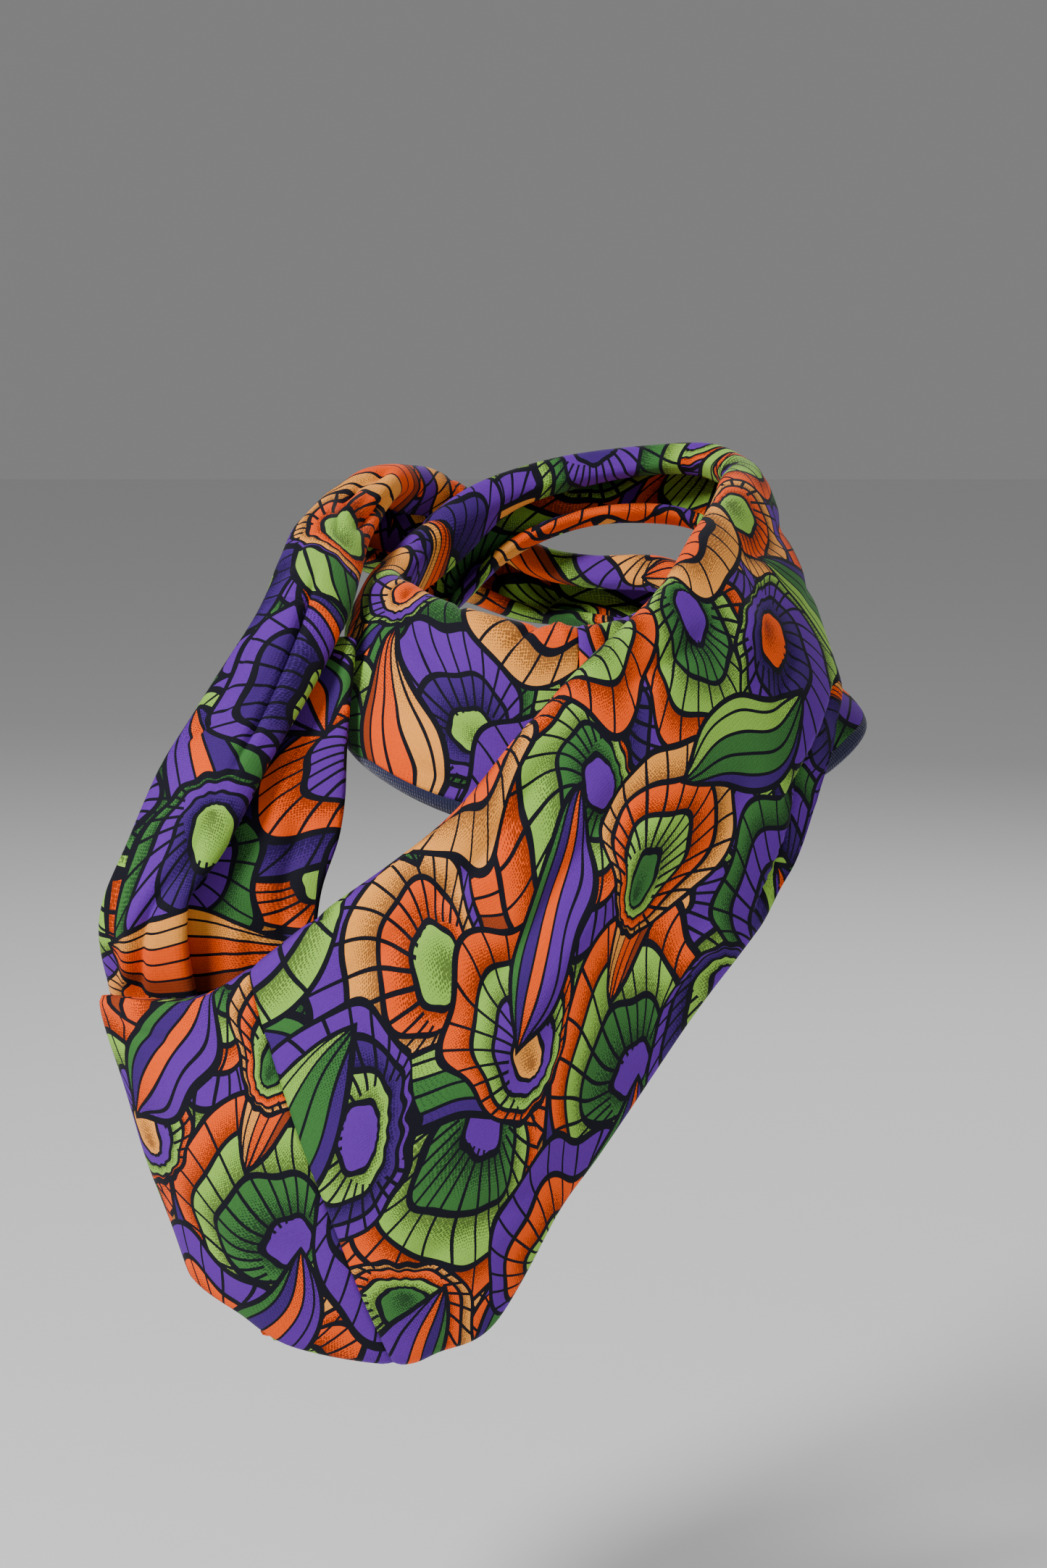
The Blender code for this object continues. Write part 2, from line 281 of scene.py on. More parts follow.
# Collar from the second seam to the right shoulder, under the front panel
COLLAR_RIGHT = [
    Section(2, -99, -36, 2, -122, -99, 5, 4.0, 20, 3.0, 18),
    Section(15, -95, -35, 23, -118, -99, 3, 4.0, 20, 3.0, 18),
    Section(26, -87, -32, 44, -109, -95, 0, 4.0, 18, 3.0, 18),
    Section(35, -77, -30, 66, -92, -91, -3, 4.0, 16, 3.0, 16),
    Section(41, -65, -29, 86, -70, -86, -5, 4.0, 14, 3.0, 14),
    Section(45, -50, -28, 99, -48, -74, -6, 4.0, 14, 3.0, 12),
]

# Round the nape below the first turn, rising at the left to pass outside it
NAPE_LOWER = [
    Section(47, -34, -27, 89, -22, -64, -4, 4.5, 14, 3.6, 10),
    Section(44, -14, -26, 68, 0, -57, 0, 5.0, 13, 3.5, 9),
    Section(33, 6, -22, 40, 18, -51, 3, 5.5, 11, 4.5, 6),
    Section(10, 21, -23, 13, 27, -49, 4, 6.0, 10, 4.5, 5),
    Section(-10, 29, -20, -13, 34, -47, 4, 6.0, 10, 4.5, 5),
    Section(-30, 30, -6, -35, 34, -40, 4, 6.0, 13, 5.0, 6),
    Section(-48, 19, 5, -55, 21, -33, 4, 6.0, 15, 6.0, 7),
]

# Over the left shoulder, as a soft roll
LEFT_SHOULDER = [
    Section(-58, 2, 9, -69, 2, -28, 5, 6.0, 16, 6.0, 8),
    Section(-63, -18, 9, -83, -18, -20, 7, 5.0, 12, 5.5, 7),
    Section(-67, -43, -4, -93, -40, -19, 8, 4.5, 11, 6.0, 8),
    Section(-70, -67, -19, -98, -59, -27, 9, 4.0, 10, 6.5, 9),
]

# Fall at the left, from the chest down behind the front panel, to turn in under its low fold
LEFT_FALL = [
    Section(-75, -88, -34, -103, -76, -38, 9, 4.0, 10, 7.0, 10),
    Section(-86, -104, -58, -119, -87, -61, 9, 3.5, 11, 7.5, 12),
    Section(-99, -117, -80, -131, -97, -84, 9, 3.0, 11, 7.5, 14),
    Section(-110, -126, -102, -141, -106, -107, 8, 2.5, 10, 7.0, 16),
    Section(-121, -131, -123, -149, -110, -128, 6, 2.0, 8, 6.0, 15),
    Section(-120, -127, -150, -148, -105, -153, 3, 1.8, 7, 5.0, 14),
    Section(-112, -125, -178, -142, -107, -179, 3, 1.8, 7, 3.5, 11),
    Section(-101, -128, -212, -132, -111, -212, 3, 1.8, 7, 3.0, 9),
    Section(-95, -131, -240, -124, -115, -229, 2, 1.8, 7, 2.5, 7),
    Section(-93, -134, -253, -122, -118, -238, 1, 1.8, 7, 2.0, 5),
    Section(-93, -138.5, -259.5, -120, -122.5, -242.5, -1, 1.8, 7, 1.8, 4),
]

# Free edge of the flat strip that comes out from under the roll, a row for each LEFT_FALL row
StripEdge = namedtuple("StripEdge", "x y z")
STRIP_EDGES = [
    StripEdge(-70, -85, -42),
    StripEdge(-71, -92, -58),
    StripEdge(-72, -103, -79),
    StripEdge(-74, -112, -101),
    StripEdge(-80, -119, -123),
    StripEdge(-78, -123, -152),
    StripEdge(-74, -127, -180),
    StripEdge(-69, -131, -214),
    StripEdge(-64, -132, -242),
    StripEdge(-63, -133, -251),
    StripEdge(-63, -135, -256),
]

BAND_ROWS = (FRONT_LEFT + FRONT_RIGHT + NAPE_UPPER + COLLAR_LEFT
             + COLLAR_RIGHT + NAPE_LOWER + LEFT_SHOULDER + LEFT_FALL)


def row_of(table):
    """Number of a table's first row in the whole band."""
    return BAND_ROWS.index(table[0])


FIRST_SEAM = row_of(FRONT_RIGHT)
COLLAR_START = row_of(COLLAR_LEFT)
SECOND_SEAM = row_of(COLLAR_RIGHT)
COLLAR_END = row_of(NAPE_LOWER)
FALL_START = row_of(LEFT_FALL)
BAND_END = len(BAND_ROWS) - 1

# Soft troughs in the cloth, from one place to another. A place is a row of the band and
# the millimetres across it from the top fold. A ridge has a negative depth.
Crease = namedtuple("Crease", "row across to_row to_across depth half_width")
CREASES = [
    # Pocket corner
    Crease(1.2, 6, 3.6, 16, 1.3, 3.0),
    Crease(1.6, 34, 4.2, 44, 1.0, 5.0),
    Crease(2.2, 70, 5.0, 92, 1.1, 6.0),
    # Front panel
    Crease(5.6, 26, 9.8, 14, 2.2, 4.5),
    Crease(5.8, -4, 6.4, 9, 1.6, 2.2),
    Crease(6.4, 60, 11.6, 38, 2.7, 6.0),
    Crease(7.0, 78, 12.2, 52, -1.8, 6.0),
    Crease(8.8, 96, 13.0, 64, 2.4, 6.5),
    Crease(5.2, 116, 8.4, 122, 1.8, 6.0),
    Crease(10.4, 14, 13.6, 26, 2.4, 4.0),
    Crease(9.9, 104, 11.9, 98, -1.7, 4.0),
    Crease(12.6, 40, 14.6, 30, -1.7, 5.0),
    Crease(13.4, 56, 14.9, 50, 1.8, 4.0),
    # Over the right shoulder and round the nape
    Crease(14.6, 18, 18.2, 34, 1.6, 4.5),
    Crease(15.6, 48, 18.8, 50, 1.2, 4.0),
    Crease(17.2, 10, 21.4, 15, 1.3, 3.0),
    Crease(19.3, 20, 23.6, 22, -1.1, 3.0),
    Crease(22.4, 8, 25.6, 14, 1.2, 2.6),
    Crease(23.6, -14, 23.9, 16, 1.5, 2.4),
    Crease(24.5, -10, 24.7, 20, 1.2, 2.0),
    Crease(25.0, 26, 27.6, 34, 1.4, 3.6),
    # Collar
    Crease(27.4, 12, 30.0, 26, 1.5, 3.6),
    Crease(28.4, 40, 31.2, 48, 1.2, 4.5),
    Crease(29.2, 58, 30.6, 62, 1.0, 3.0),
    Crease(30.6, 16, 31.4, -4, 2.0, 1.8),
    Crease(31.5, -3, 31.8, 10, -1.3, 2.0),
    Crease(29.4, -6, 29.7, 8, 1.2, 1.8),
    Crease(32.3, 8, 34.2, 22, 1.4, 3.4),
    Crease(32.8, 44, 35.8, 40, 1.3, 5.0),
    Crease(35.0, 18, 37.2, 30, 1.2, 4.0),
    # Second turn at the nape
    Crease(38.4, 12, 41.6, 9, 1.4, 2.8),
    Crease(39.6, 26, 42.8, 18, 1.1, 3.2),
    Crease(42.8, -12, 43.1, 14, 1.4, 2.2),
    Crease(43.6, -10, 44.0, 18, 1.2, 2.0),
    Crease(43.8, 24, 45.8, 30, 1.2, 3.2),
    # Knot of wrinkles on the left shoulder
    Crease(45.8, 0, 47.1, 14, 3.4, 2.1),
    Crease(46.2, -6, 47.5, 6, 3.2, 2.0),
    Crease(46.0, 4, 47.4, 11, -1.8, 1.9),
    Crease(46.5, 14, 47.9, 10, 1.7, 1.8),
    Crease(45.6, 8, 46.4, 20, 1.4, 2.0),
    Crease(46.9, 18, 48.8, 25, 1.4, 2.8),
    # Fall at the left
    Crease(48.2, 10, 50.6, 15, 1.2, 3.2),
    Crease(48.9, 28, 50.9, 26, 1.4, 2.8),
    Crease(50.2, 18, 50.9, 31, 1.6, 1.9),
    Crease(51.2, 10, 53.0, 6, 1.2, 3.0),
    Crease(52.2, 8, 54.3, 22, 2.7, 2.8),
    Crease(52.6, 15, 54.2, 27, -1.3, 2.6),
    Crease(51.0, -24, 53.2, 3, 1.9, 2.8),
    Crease(51.5, -40, 53.9, -46, 2.1, 3.6),
    Crease(50.2, -22, 52.2, -36, -1.4, 4.0),
    Crease(53.0, -30, 54.4, -26, -1.6, 3.0),
    Crease(52.8, -52, 54.6, -58, 1.2, 3.0),
    Crease(50.0, 30, 54.4, 35, -1.8, 4.0),
    Crease(54.6, 12, 58.0, 9, 1.2, 3.6),
    Crease(55.2, -26, 58.2, -32, 1.3, 5.0),
]

# Pleats, where the cloth on the far side of a fold's edge lies lower and fades back.
# Hidden is the width of cloth that goes in behind the edge, so that the print jumps there.
Pleat = namedtuple("Pleat", "row across to_row to_across depth fade side hidden")
PLEATS = [
    Pleat(11.9, 106, 13.9, 75, 4.4, 36, 1, 16),
    Pleat(12.8, 81, 15.8, 70, 4.4, 36, 1, 16),
    Pleat(48.2, 16, 51.4, 9, 1.1, 10, -1, 0),
]


def spline(before, here, there, after, t):
    """Catmull-Rom curve from here to there, for numbers or vectors."""
    return 0.5 * (2 * here + (there - before) * t
                  + (2 * before - 5 * here + 4 * there - after) * t ** 2
                  + (3 * here - before - 3 * there + after) * t ** 3)


def smooth_rows(rows):
    """Smooth curves through the rows, with SECTIONS_PER_ROW sections for each."""
    kind = type(rows[0])
    end = len(rows) - 1
    result = []
    for row in range(end):
        nearby = [rows[min(max(row + step, 0), end)] for step in (-1, 0, 1, 2)]
        for step in range(SECTIONS_PER_ROW):
            share = step / SECTIONS_PER_ROW
            result.append(kind(*(spline(*column, share) for column in zip(*nearby))))
    result.append(rows[end])
    return result


# A section with its two folds as points, and at each the direction out of the face
Profile = namedtuple(
    "Profile", "top low out_top out_low belly top_fold tuck low_fold under")


def fold_points(section):
    return (Vector((section.top_x, section.top_y, section.top_z)),
            Vector((section.low_x, section.low_y, section.low_z)))


def band_profiles():
    """Profiles for every section of the whole band."""
    profiles = []
    for index, row in enumerate(BAND_ROWS):
        top, low = fold_points(row)
        top_before, low_before = fold_points(BAND_ROWS[max(index - 1, 0)])
        top_after, low_after = fold_points(BAND_ROWS[min(index + 1, BAND_END)])
        out_top = (low - top).cross(top_after - top_before).normalized()
        out_low = (low - top).cross(low_after - low_before).normalized()
        profiles.append(Profile(top, low, out_top, out_low, row.belly, row.top_fold,
                                row.tuck, row.low_fold, row.under))
    return smooth_rows(profiles)


def width(section):
    return (section.low - section.top).length


def point_at(section, across, height):
    """Point at a distance down the face from the top fold and a height out of it."""
    share = across / width(section)
    out = section.out_top.lerp(section.out_low, share).normalized()
    return section.top.lerp(section.low, share) + out * height


def swell(section, across):
    """Height of the face above the line between its folds."""
    share = across / width(section)
    return section.belly * 4 * share * (1 - share)


def tuck_keys(section):
    """The turned-in top edge, from its hidden end to the fold."""
    behind = swell(section, section.tuck) - 2 * section.top_fold
    return [point_at(section, section.tuck, behind),
            point_at(section, section.top_fold, -2 * section.top_fold)]


def face_keys(section):
    """From the top fold over the face to the low fold."""
    top, low = section.top_fold, section.low_fold
    flat = width(section) - top - low
    across = [top] + [top + flat * share for share in FACE_SHARES] + [width(section) - low]
    return ([point_at(section, 0, -top)]
            + [point_at(section, x, swell(section, x)) for x in across]
            + [point_at(section, width(section), -low)])


def under_keys(section):
    """The width that turns up behind the low fold."""
    radius = section.low_fold
    turned = width(section) - max(section.under, radius + LEAST_UNDER)
    return [point_at(section, width(section) - radius, -2 * radius),
            point_at(section, turned, swell(section, turned) - 2 * radius)]


def strip_keys(section, edge_row):
    """The strip beside the roll, from its turned edge to the crease behind the roll."""
    edge = Vector(edge_row)
    tuck = section.tuck
    depth = -2 * section.top_fold
    crease = point_at(section, tuck - CREASE_RADIUS, depth - 2 * CREASE_RADIUS)
    inward = (crease - edge).normalized()
    out = (section.out_top - inward * section.out_top.dot(inward)).normalized()
    return [edge + inward * EDGE_UNDER - out * 2 * EDGE_TURN,
            edge + inward * EDGE_TURN - out * 2 * EDGE_TURN,
            edge - out * EDGE_TURN,
            edge + inward * EDGE_TURN,
            edge.lerp(crease, STRIP_MIDDLE),
            crease,
            point_at(section, tuck, depth - CREASE_RADIUS),
            point_at(section, tuck - CREASE_RADIUS, depth)]


def smooth_line(keys):
    """Points on a smooth curve through the keys, KEY_STEPS for each."""
    end = len(keys) - 1
    line = []
    for index in range(end):
        nearby = [keys[min(max(index + step, 0), end)] for step in (-1, 0, 1, 2)]
        line += [spline(*nearby, step / KEY_STEPS) for step in range(KEY_STEPS)]
    line.append(keys[end])
    return np.array(line)


def lengths_along(line):
    """Distance of each point of a line from its start."""
    steps = np.linalg.norm(np.diff(line, axis=0), axis=1)
    return np.concatenate([[0], np.cumsum(steps)])


def spread(line, marks, counts):
    """Points evenly along a line between marked distances, and their distances."""
    at = lengths_along(line)
    wanted = [np.linspace(start, end, count, endpoint=False)
              for start, end, count in zip(marks, marks[1:], counts)]
    wanted = np.concatenate(wanted + [[marks[-1]]])
    points = np.stack([np.interp(wanted, at, line[:, axis]) for axis in range(3)], axis=1)
    return points, wanted


def lining_height(row):
    """How much lining shows above the low fold, growing from nothing at the collar's ends."""
    inside = min(row - COLLAR_START, COLLAR_END - row)
    return LINING_SHOWS * min(max(inside / LINING_GROWTH, LINING_LEAST), 1)


def section_points(section, row, edge_row=None):
    """One section of the shell, and how far across the cloth each point is from the top fold."""
    if edge_row is None:
        before = tuck_keys(section)
        count = TUCK_POINTS
    else:
        before = strip_keys(section, edge_row)
        before.append(point_at(section, section.top_fold, -2 * section.top_fold))
        count = STRIP_POINTS
    face = face_keys(section)
    line = smooth_line(before + face + under_keys(section))
    at = lengths_along(line)
    top = at[len(before) * KEY_STEPS]
    low = at[(len(before) + len(face) - 1) * KEY_STEPS]
    seam = low - lining_height(row)
    points, across = spread(line, [0, top, seam, low, at[-1]],
                            [count, PRINT_POINTS, LINING_POINTS, UNDER_POINTS])
    return points, across - top


# A stretch of the shell as a grid: its points, their millimetres along and across, their
# rows of the band, and the column at which the lining starts
Cloth = namedtuple("Cloth", "points along across rows seam_column")


def cloth_between(band, first_row, last_row, edges=None):
    """The shell from one row of the band to another."""
    numbers = np.arange(first_row * SECTIONS_PER_ROW, round(last_row * SECTIONS_PER_ROW) + 1)
    rows = numbers / SECTIONS_PER_ROW
    lines = []
    for index, number in enumerate(numbers):
        edge_row = None if edges is None else edges[index]
        lines.append(section_points(band[number], rows[index], edge_row))
    points = np.array([line for line, _ in lines])
    across = np.array([distance for _, distance in lines])
    along = np.repeat(band_lengths(band)[numbers][:, None], points.shape[1], axis=1)
    row_grid = np.repeat(rows[:, None], points.shape[1], axis=1)
    before_face = TUCK_POINTS if edges is None else STRIP_POINTS
    return Cloth(points, along, across, row_grid, before_face + PRINT_POINTS)


def band_lengths(band):
    """Distance of each section along the middle of the band."""
    middles = np.array([section.top.lerp(section.low, 0.5) for section in band])
    return lengths_along(middles)


def outward(points):
    """Direction out of the cloth at each point of a grid."""
    along = np.gradient(points, axis=0)
    across = np.gradient(points, axis=1)
    out = np.cross(across, along)
    return out / np.maximum(np.linalg.norm(out, axis=2, keepdims=True), 1e-9)


def line_distances(cloth, band, mark):
    """Signed distance from a mark's line, and the share of the way along it."""
    lengths = band_lengths(band)
    numbers = np.arange(len(lengths)) / SECTIONS_PER_ROW
    start = np.array([np.interp(mark.row, numbers, lengths), mark.across])
    end = np.array([np.interp(mark.to_row, numbers, lengths), mark.to_across])
    run = end - start
    length = np.linalg.norm(run)
    offset = np.stack([cloth.along, cloth.across], axis=2) - start
    share = offset @ run / length ** 2
    side = (offset[..., 1] * run[0] - offset[..., 0] * run[1]) / length
    return side, share


def fade_at_ends(share):
    """Full along most of a mark and nothing at its ends."""
    inside = np.clip(np.minimum(share, 1 - share) / MARK_FADE, 0, 1)
    return inside ** 2 * (3 - 2 * inside)


def past_edge(beyond):
    """From 0 on the near side of a pleat's edge to 1 on the far side."""
    steepness = np.clip(beyond / PLEAT_EDGE, -PLEAT_STEEPEST, PLEAT_STEEPEST)
    return 1 / (1 + np.exp(-steepness))


def across_on_cloth(cloth, band):
    """Millimetres across the cloth, with what the pleats hide."""
    hidden = np.zeros(cloth.across.shape)
    for pleat in PLEATS:
        side, share = line_distances(cloth, band, pleat)
        shown = pleat.hidden * past_edge(side * pleat.side) * fade_at_ends(share)
        hidden = np.maximum(hidden, shown)
    return cloth.across + hidden


def wave_height(wave, main, other):
    """Height of a wave that runs one way and bends to and fro in the other."""
    return wave.height * np.sin(main / wave.length + wave.bend * np.sin(other / wave.bend_length))


def creased(cloth, band):
    """The cloth's points with its creases, pleats and soft unevenness."""
    height = np.zeros(cloth.along.shape)
    for crease in CREASES:
        side, share = line_distances(cloth, band, crease)
        trough = np.exp(-(side / crease.half_width) ** 2) * fade_at_ends(share)
        height -= crease.depth * trough
    lowered = np.zeros(cloth.along.shape)
    for pleat in PLEATS:
        side, share = line_distances(cloth, band, pleat)
        beyond = side * pleat.side
        drop = pleat.depth * past_edge(beyond) * np.exp(-np.maximum(beyond, 0) / pleat.fade)
        drop += PLEAT_TROUGH * np.exp(-((beyond - PLEAT_TURN) / PLEAT_TURN) ** 2)
        lowered = np.maximum(lowered, drop * fade_at_ends(share))
    height -= lowered
    for seam in (FIRST_SEAM, SECOND_SEAM):
        off = cloth.along - band_lengths(band)[seam * SECTIONS_PER_ROW]
        height -= SEAM_GROOVE * np.exp(-(off / SEAM_HALF_WIDTH) ** 2)
    height += wave_height(WAVE_ALONG, cloth.along, cloth.across)
    height += wave_height(WAVE_ACROSS, cloth.across, cloth.along)
    height = np.clip(height, -MOST_HEIGHT, MOST_HEIGHT)
    columns = np.arange(height.shape[1])
    edge = np.minimum(columns, columns[::-1])
    height *= np.clip(edge / EDGE_FADE_POINTS, 0, 1)[None, :]
    return cloth.points + outward(cloth.points) * height[..., None]


def link(tree, value, socket):
    """Feeds a socket from another one, or sets its own value."""
    if isinstance(value, bpy.types.NodeSocket):
        tree.links.new(value, socket)
    elif value is not None:
        socket.default_value = value


def calculate(tree, operation, *values):
    node = tree.nodes.new("ShaderNodeMath")
    node.operation = operation
    for value, socket in zip(values, node.inputs):
        link(tree, value, socket)
    return node.outputs["Value"]


def calculate_vector(tree, operation, *values):
    node = tree.nodes.new("ShaderNodeVectorMath")
    node.operation = operation
    for value, socket in zip(values, node.inputs):
        link(tree, value, socket)
    return node.outputs["Value" if operation == "LENGTH" else "Vector"]


def scaled(tree, vector, factor):
    node = tree.nodes.new("ShaderNodeVectorMath")
    node.operation = "SCALE"
    link(tree, vector, node.inputs["Vector"])
    link(tree, factor, node.inputs["Scale"])
    return node.outputs["Vector"]


def separate(tree, vector):
    node = tree.nodes.new("ShaderNodeSeparateXYZ")
    link(tree, vector, node.inputs["Vector"])
    return node.outputs["X"], node.outputs["Y"], node.outputs["Z"]


def combine(tree, x, y, z=0.0):
    node = tree.nodes.new("ShaderNodeCombineXYZ")
    for value, socket in zip((x, y, z), node.inputs):
        link(tree, value, socket)
    return node.outputs["Vector"]


def blend_colour(tree, share, below, above, way="MIX"):
    node = tree.nodes.new("ShaderNodeMix")
    node.data_type = "RGBA"
    node.blend_type = way
    link(tree, share, node.inputs["Factor"])
    link(tree, below, node.inputs[6])
    link(tree, above, node.inputs[7])
    return node.outputs[2]


def palette(tree, value, colours):
    """Steps of plain colour, chosen by a value from 0 to 1."""
    node = tree.nodes.new("ShaderNodeValToRGB")
    ramp = node.color_ramp
    ramp.interpolation = "CONSTANT"
    for index, (position, colour) in enumerate(colours):
        stop = ramp.elements[index] if index < 2 else ramp.elements.new(position)
        stop.position = position
        stop.color = (*colour, 1)
    link(tree, value, node.inputs["Fac"])
    return node.outputs["Color"]


def chance(tree, place, seed=0.0):
    """A random value and three random numbers for each whole place."""
    node = tree.nodes.new("ShaderNodeTexWhiteNoise")
    node.noise_dimensions = "4D"
    link(tree, place, node.inputs["Vector"])
    link(tree, seed, node.inputs["W"])
    return (node.outputs["Value"], *separate(tree, node.outputs["Color"]))


def new_group(name, inputs, outputs):
    """An empty shader node group with named sockets."""
    tree = bpy.data.node_groups.new(name, "ShaderNodeTree")
    for socket, kind in inputs:
        tree.interface.new_socket(socket, in_out="INPUT", socket_type="NodeSocket" + kind)
    for socket, kind in outputs:
        tree.interface.new_socket(socket, in_out="OUTPUT", socket_type="NodeSocket" + kind)
    return tree, tree.nodes.new("NodeGroupInput").outputs, tree.nodes.new("NodeGroupOutput").inputs


def use_group(tree, group, **values):
    node = tree.nodes.new("ShaderNodeGroup")
    node.node_tree = group
    for name, value in values.items():
        link(tree, value, node.inputs[name])
    return node.outputs


def noise_at(tree, place, scale, detail):
    """Outputs of a soft noise at a place."""
    node = tree.nodes.new("ShaderNodeTexNoise")
    node.inputs["Scale"].default_value = scale
    node.inputs["Detail"].default_value = detail
    link(tree, place, node.inputs["Vector"])
    return node.outputs


def near_line(tree, share, spacing):
    """Distance to the nearest whole number of a share, for lines that far apart."""
    part = calculate(tree, "FRACT", share)
    off = calculate(tree, "ABSOLUTE", calculate(tree, "SUBTRACT", part, 0.5))
    return calculate(tree, "MULTIPLY", calculate(tree, "SUBTRACT", 0.5, off), spacing)


def wandering(tree, first, second, wander):
    """A point near the middle of a cell, from two numbers of chance."""
    start = 0.5 - wander / 2
    return combine(tree, calculate(tree, "MULTIPLY_ADD", first, wander, start),
                   calculate(tree, "MULTIPLY_ADD", second, wander, start))


def dots(tree, place, amount):
    """Round stippled dots that grow with the given amount."""
    cells = scaled(tree, place, 1 / DOT_SPACING)
    cell = calculate_vector(tree, "FLOOR", cells)
    _, first, second, _ = chance(tree, cell)
    centre = calculate_vector(tree, "ADD", cell, wandering(tree, first, second, DOT_WANDER))
    away = calculate_vector(tree, "LENGTH", calculate_vector(tree, "SUBTRACT", cells, centre))
    return calculate(tree, "LESS_THAN", away, calculate(tree, "MULTIPLY", amount, DOT_REACH))


def stippled(tree, colour, place, amount):
    """The colour with darker dots of itself that grow with the given amount."""
    darker = blend_colour(tree, 1.0, colour, (*DOT_TINT, 1), "MULTIPLY")
    return blend_colour(tree, dots(tree, place, amount), colour, darker)


def motif_place(tree, given, cell_size, wander):
    """The place inside a motif's cell, turned at random, and the cell's random numbers."""
    cells = calculate_vector(
        tree, "ADD", scaled(tree, given["Place"], 1 / cell_size), given["Shift"])
    cell = calculate_vector(tree, "FLOOR", cells)
    value, first, second, third = chance(tree, cell, given["Seed"])
    inside = calculate_vector(tree, "SUBTRACT", cells, cell)
    inside = calculate_vector(tree, "SUBTRACT", inside, wandering(tree, first, second, wander))
    turn = tree.nodes.new("ShaderNodeVectorRotate")
    turn.rotation_type = "Z_AXIS"
    link(tree, scaled(tree, inside, cell_size), turn.inputs["Vector"])
    link(tree, calculate(tree, "MULTIPLY", third, math.tau), turn.inputs["Angle"])
    x, y, _ = separate(tree, turn.outputs["Vector"])
    return x, y, value, first, second


def motif_group(name):
    """An empty shader node group for one motif of the print."""
    return new_group(name, [("Place", "Vector"), ("Shift", "Vector"), ("Seed", "Float")],
                     [("Colour", "Color"), ("Mask", "Float")])


def fan_group():
    """A fan: scalloped rings round a base point, with lines that spread from the base."""
    tree, given, out = motif_group("Print fan")
    x, y, value, _, _ = motif_place(tree, given, FAN_CELL, FAN_WANDER)
    radius = calculate(
        tree, "MULTIPLY_ADD", value, FAN_CELL * FAN_RADIUS_MORE, FAN_CELL * FAN_RADIUS)
    base = calculate(tree, "MULTIPLY", radius, FAN_BASE)
    y = calculate(tree, "ADD", y, base)
    reach = calculate_vector(tree, "LENGTH", combine(tree, x, y))
    angle = calculate(tree, "ARCTAN2", x, y)
    sine = calculate(tree, "MULTIPLY", calculate(tree, "SINE", angle), FAN_BASE)
    squared = calculate(tree, "MULTIPLY", sine, sine)
    root = calculate(tree, "SQRT", calculate(tree, "SUBTRACT", 1.0, squared))
    cosine = calculate(tree, "MULTIPLY", calculate(tree, "COSINE", angle), FAN_BASE)
    edge = calculate(tree, "MULTIPLY", radius, calculate(tree, "ADD", cosine, root))
    wave = calculate(tree, "COSINE", calculate(
        tree, "MULTIPLY_ADD", angle, FAN_SCALLOPS,
        calculate(tree, "MULTIPLY", value, SCALLOP_TURN)))
    edge = calculate(tree, "MULTIPLY", edge, calculate(
        tree, "MULTIPLY_ADD", wave, SCALLOP_DEPTH, 1 - SCALLOP_DEPTH))
    share = calculate(tree, "DIVIDE", reach, edge)
    ring_place = calculate(tree, "MULTIPLY", share, FAN_RINGS)
    ring = calculate(tree, "FLOOR", ring_place)
    pick = calculate(tree, "FRACT", calculate(
        tree, "MULTIPLY_ADD", ring, RING_STEP, calculate(tree, "MULTIPLY", value, FAN_STEP)))
    shade = calculate(tree, "SUBTRACT", 1.0, calculate(tree, "FRACT", ring_place))
    dotted = calculate(tree, "MULTIPLY_ADD", calculate(
        tree, "GREATER_THAN", pick, VIOLET_SHARE), 1 - VIOLET_DOTS, VIOLET_DOTS)
    amount = calculate(tree, "MULTIPLY", calculate(tree, "POWER", shade, DOT_FADE), dotted)
    colour = stippled(tree, palette(tree, pick, RING_COLOURS), given["Place"], amount)
    spokes = calculate(tree, "MULTIPLY", angle, FAN_SPOKES / math.tau)
    gap = calculate(tree, "MULTIPLY", reach, math.tau / FAN_SPOKES)
    spoke = calculate(tree, "LESS_THAN", near_line(tree, spokes, gap), FINE_LINE / 2)
    spoke = calculate(
        tree, "MULTIPLY", spoke, calculate(tree, "GREATER_THAN", gap, SPOKE_LEAST_GAP))
    ring_gap = calculate(tree, "DIVIDE", edge, FAN_RINGS)
    line = calculate(
        tree, "MINIMUM", INK_LINE / 2, calculate(tree, "MULTIPLY", ring_gap, RING_LINE_MOST))
    outline = calculate(tree, "LESS_THAN", near_line(tree, ring_place, ring_gap), line)
    outline = calculate(
        tree, "MULTIPLY", outline, calculate(tree, "GREATER_THAN", ring_place, RING_LINES_FROM))
    last = calculate(tree, "MULTIPLY", calculate(tree, "SUBTRACT", 1.0, share), edge)
    outline = calculate(tree, "MAXIMUM", outline, calculate(tree, "LESS_THAN", last, INK_LINE))
    ink = calculate(tree, "MAXIMUM", spoke, outline)
    link(tree, blend_colour(tree, ink, colour, (*INK, 1)), out["Colour"])
    link(tree, calculate(tree, "LESS_THAN", share, 1.0), out["Mask"])
    return tree


